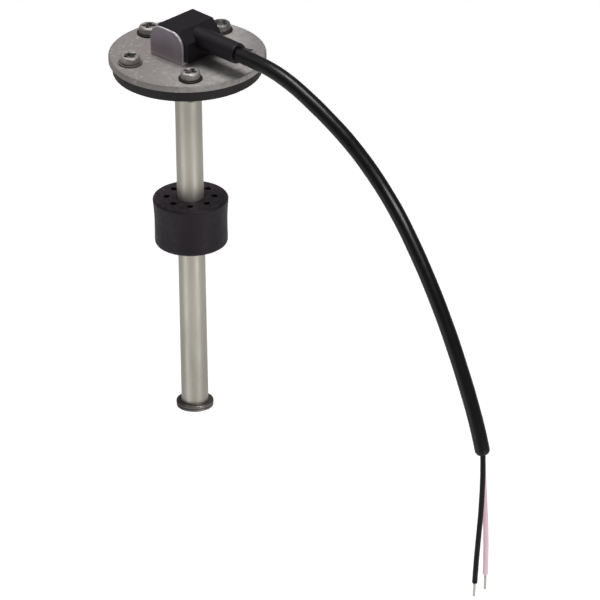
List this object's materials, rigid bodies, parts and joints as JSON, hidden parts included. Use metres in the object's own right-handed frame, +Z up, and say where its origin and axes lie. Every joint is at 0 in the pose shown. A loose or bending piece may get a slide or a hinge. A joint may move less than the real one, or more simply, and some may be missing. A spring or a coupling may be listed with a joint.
{
  "type": "fuel level sender",
  "caption": "Reed-switch fuel level sender: round screw-on flange with rubber gasket, straight stainless stem, sliding ring float, and a moulded cable head with bare-ended leads.",
  "frame": {"origin": "centre of the gasket's underside, on the stem's axis, where the part meets the tank", "axes": "+Z up along the stem, out of the tank; +X the way the cable leaves the head"},
  "size_m": [0.2224, 0.07, 0.2197],
  "materials": {
    "flange_steel": "satin",
    "bracket_steel": "satin",
    "stem_steel": "satin",
    "screw_steel": "satin",
    "clip_steel": "satin",
    "gasket_rubber": "matte",
    "float_nitrile": "matte",
    "magnet": "matte",
    "resin": "satin",
    "head_plastic": "satin",
    "cable_black": "satin",
    "lead_black": "satin",
    "lead_pink": "satin",
    "tinned_wire": "satin",
    "board": "satin",
    "reed_glass": "gloss",
    "chip_ceramic": "satin"
  },
  "bodies": {
    "stem_assembly": {"mounting_flange": "flange_steel", "flange_gasket": "gasket_rubber", "flange_screws": "screw_steel", "sealing_washers": "gasket_rubber", "head_bracket": "bracket_steel", "head_moulding": "head_plastic", "sender_tube": "stem_steel", "tube_end_plug": "stem_steel", "stop_washer": "clip_steel", "retaining_ring": "clip_steel", "cable_sheath": "cable_black", "black_lead": "lead_black", "pink_lead": "lead_pink", "black_lead_tip": "tinned_wire", "pink_lead_tip": "tinned_wire", "black_core_tail": "lead_black", "pink_core_tail": "lead_pink", "tube_seal": "resin", "circuit_strip": "board", "reed_switches": "reed_glass", "reed_leads": "tinned_wire", "chip_resistors": "chip_ceramic", "solder_joints": "tinned_wire"},
    "float": {"float_body": "float_nitrile", "float_magnet": "magnet", "magnet_seal": "resin"}
  },
  "joints": [
    {"name": "float_slide", "type": "slide", "parent": "stem_assembly", "child": "float", "axis": [0, 0, 1], "range_m": [-0.0773, 0.0655]}
  ]
}
